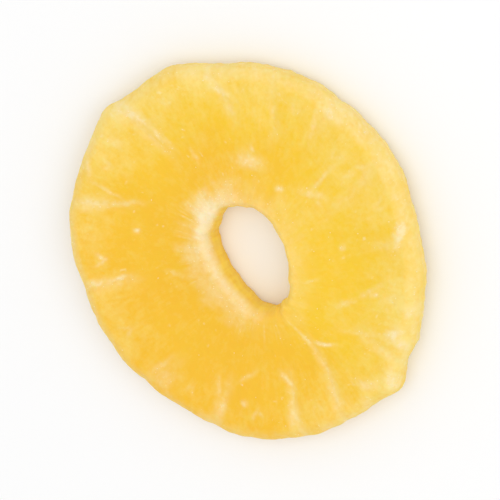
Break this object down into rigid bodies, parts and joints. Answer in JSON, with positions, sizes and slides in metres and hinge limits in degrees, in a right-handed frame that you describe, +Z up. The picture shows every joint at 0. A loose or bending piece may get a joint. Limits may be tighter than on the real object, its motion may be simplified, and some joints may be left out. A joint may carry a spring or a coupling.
{
  "type": "dried pineapple slice",
  "caption": "Whole ring of candied, dried pineapple, cut across the fruit, with an oval core hole, a thick rounded rim and sunk radial seams.",
  "frame": {"origin": "centre of the bounding box's lowest face, on the surface that the slice lies on", "axes": "+Z up, through the slice's thickness; +X along the longer way across the slice; +Y across it"},
  "size_m": [0.0788, 0.0716, 0.0088],
  "materials": {
    "candied_flesh": "matte, golden, slightly translucent, with dry sugar frosting"
  },
  "bodies": {
    "root": {"pineapple_slice": "candied_flesh"}
  },
  "joints": []
}
